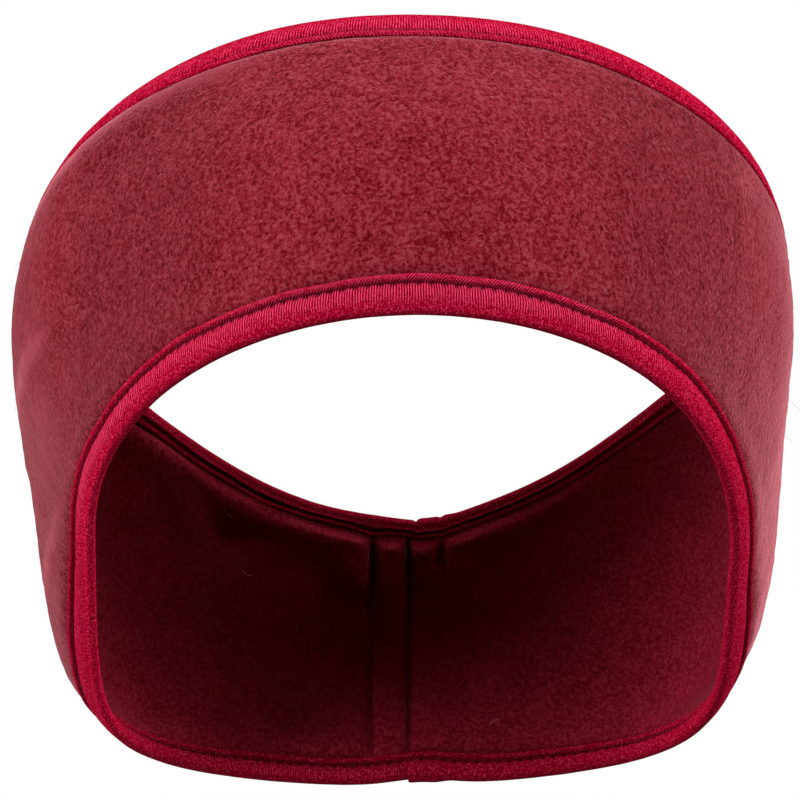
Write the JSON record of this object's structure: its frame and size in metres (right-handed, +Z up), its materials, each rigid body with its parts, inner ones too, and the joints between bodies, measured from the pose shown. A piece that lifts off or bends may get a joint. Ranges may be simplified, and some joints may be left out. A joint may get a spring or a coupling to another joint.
{
  "type": "ear warmer headband",
  "caption": "Fleece ear warmer headband, wide over forehead and ears and low at the nape, with knit binding round both edges, in its worn form.",
  "frame": {"origin": "middle of the head hollow, at the head that the band is held by", "axes": "+Z up, -Y towards the forehead, +Y towards the nape, +X towards the ear on the right in the picture"},
  "size_m": [0.1776, 0.1982, 0.162],
  "materials": {
    "fleece": "wine red brushed fleece, matt, with a pebbled nap outside",
    "binding": "crimson stretch knit tape, satin, finely ribbed across"
  },
  "bodies": {
    "root": {"fleece_band": "fleece", "seam_allowance": "fleece", "lower_binding": "binding", "upper_binding": "binding"}
  },
  "joints": []
}
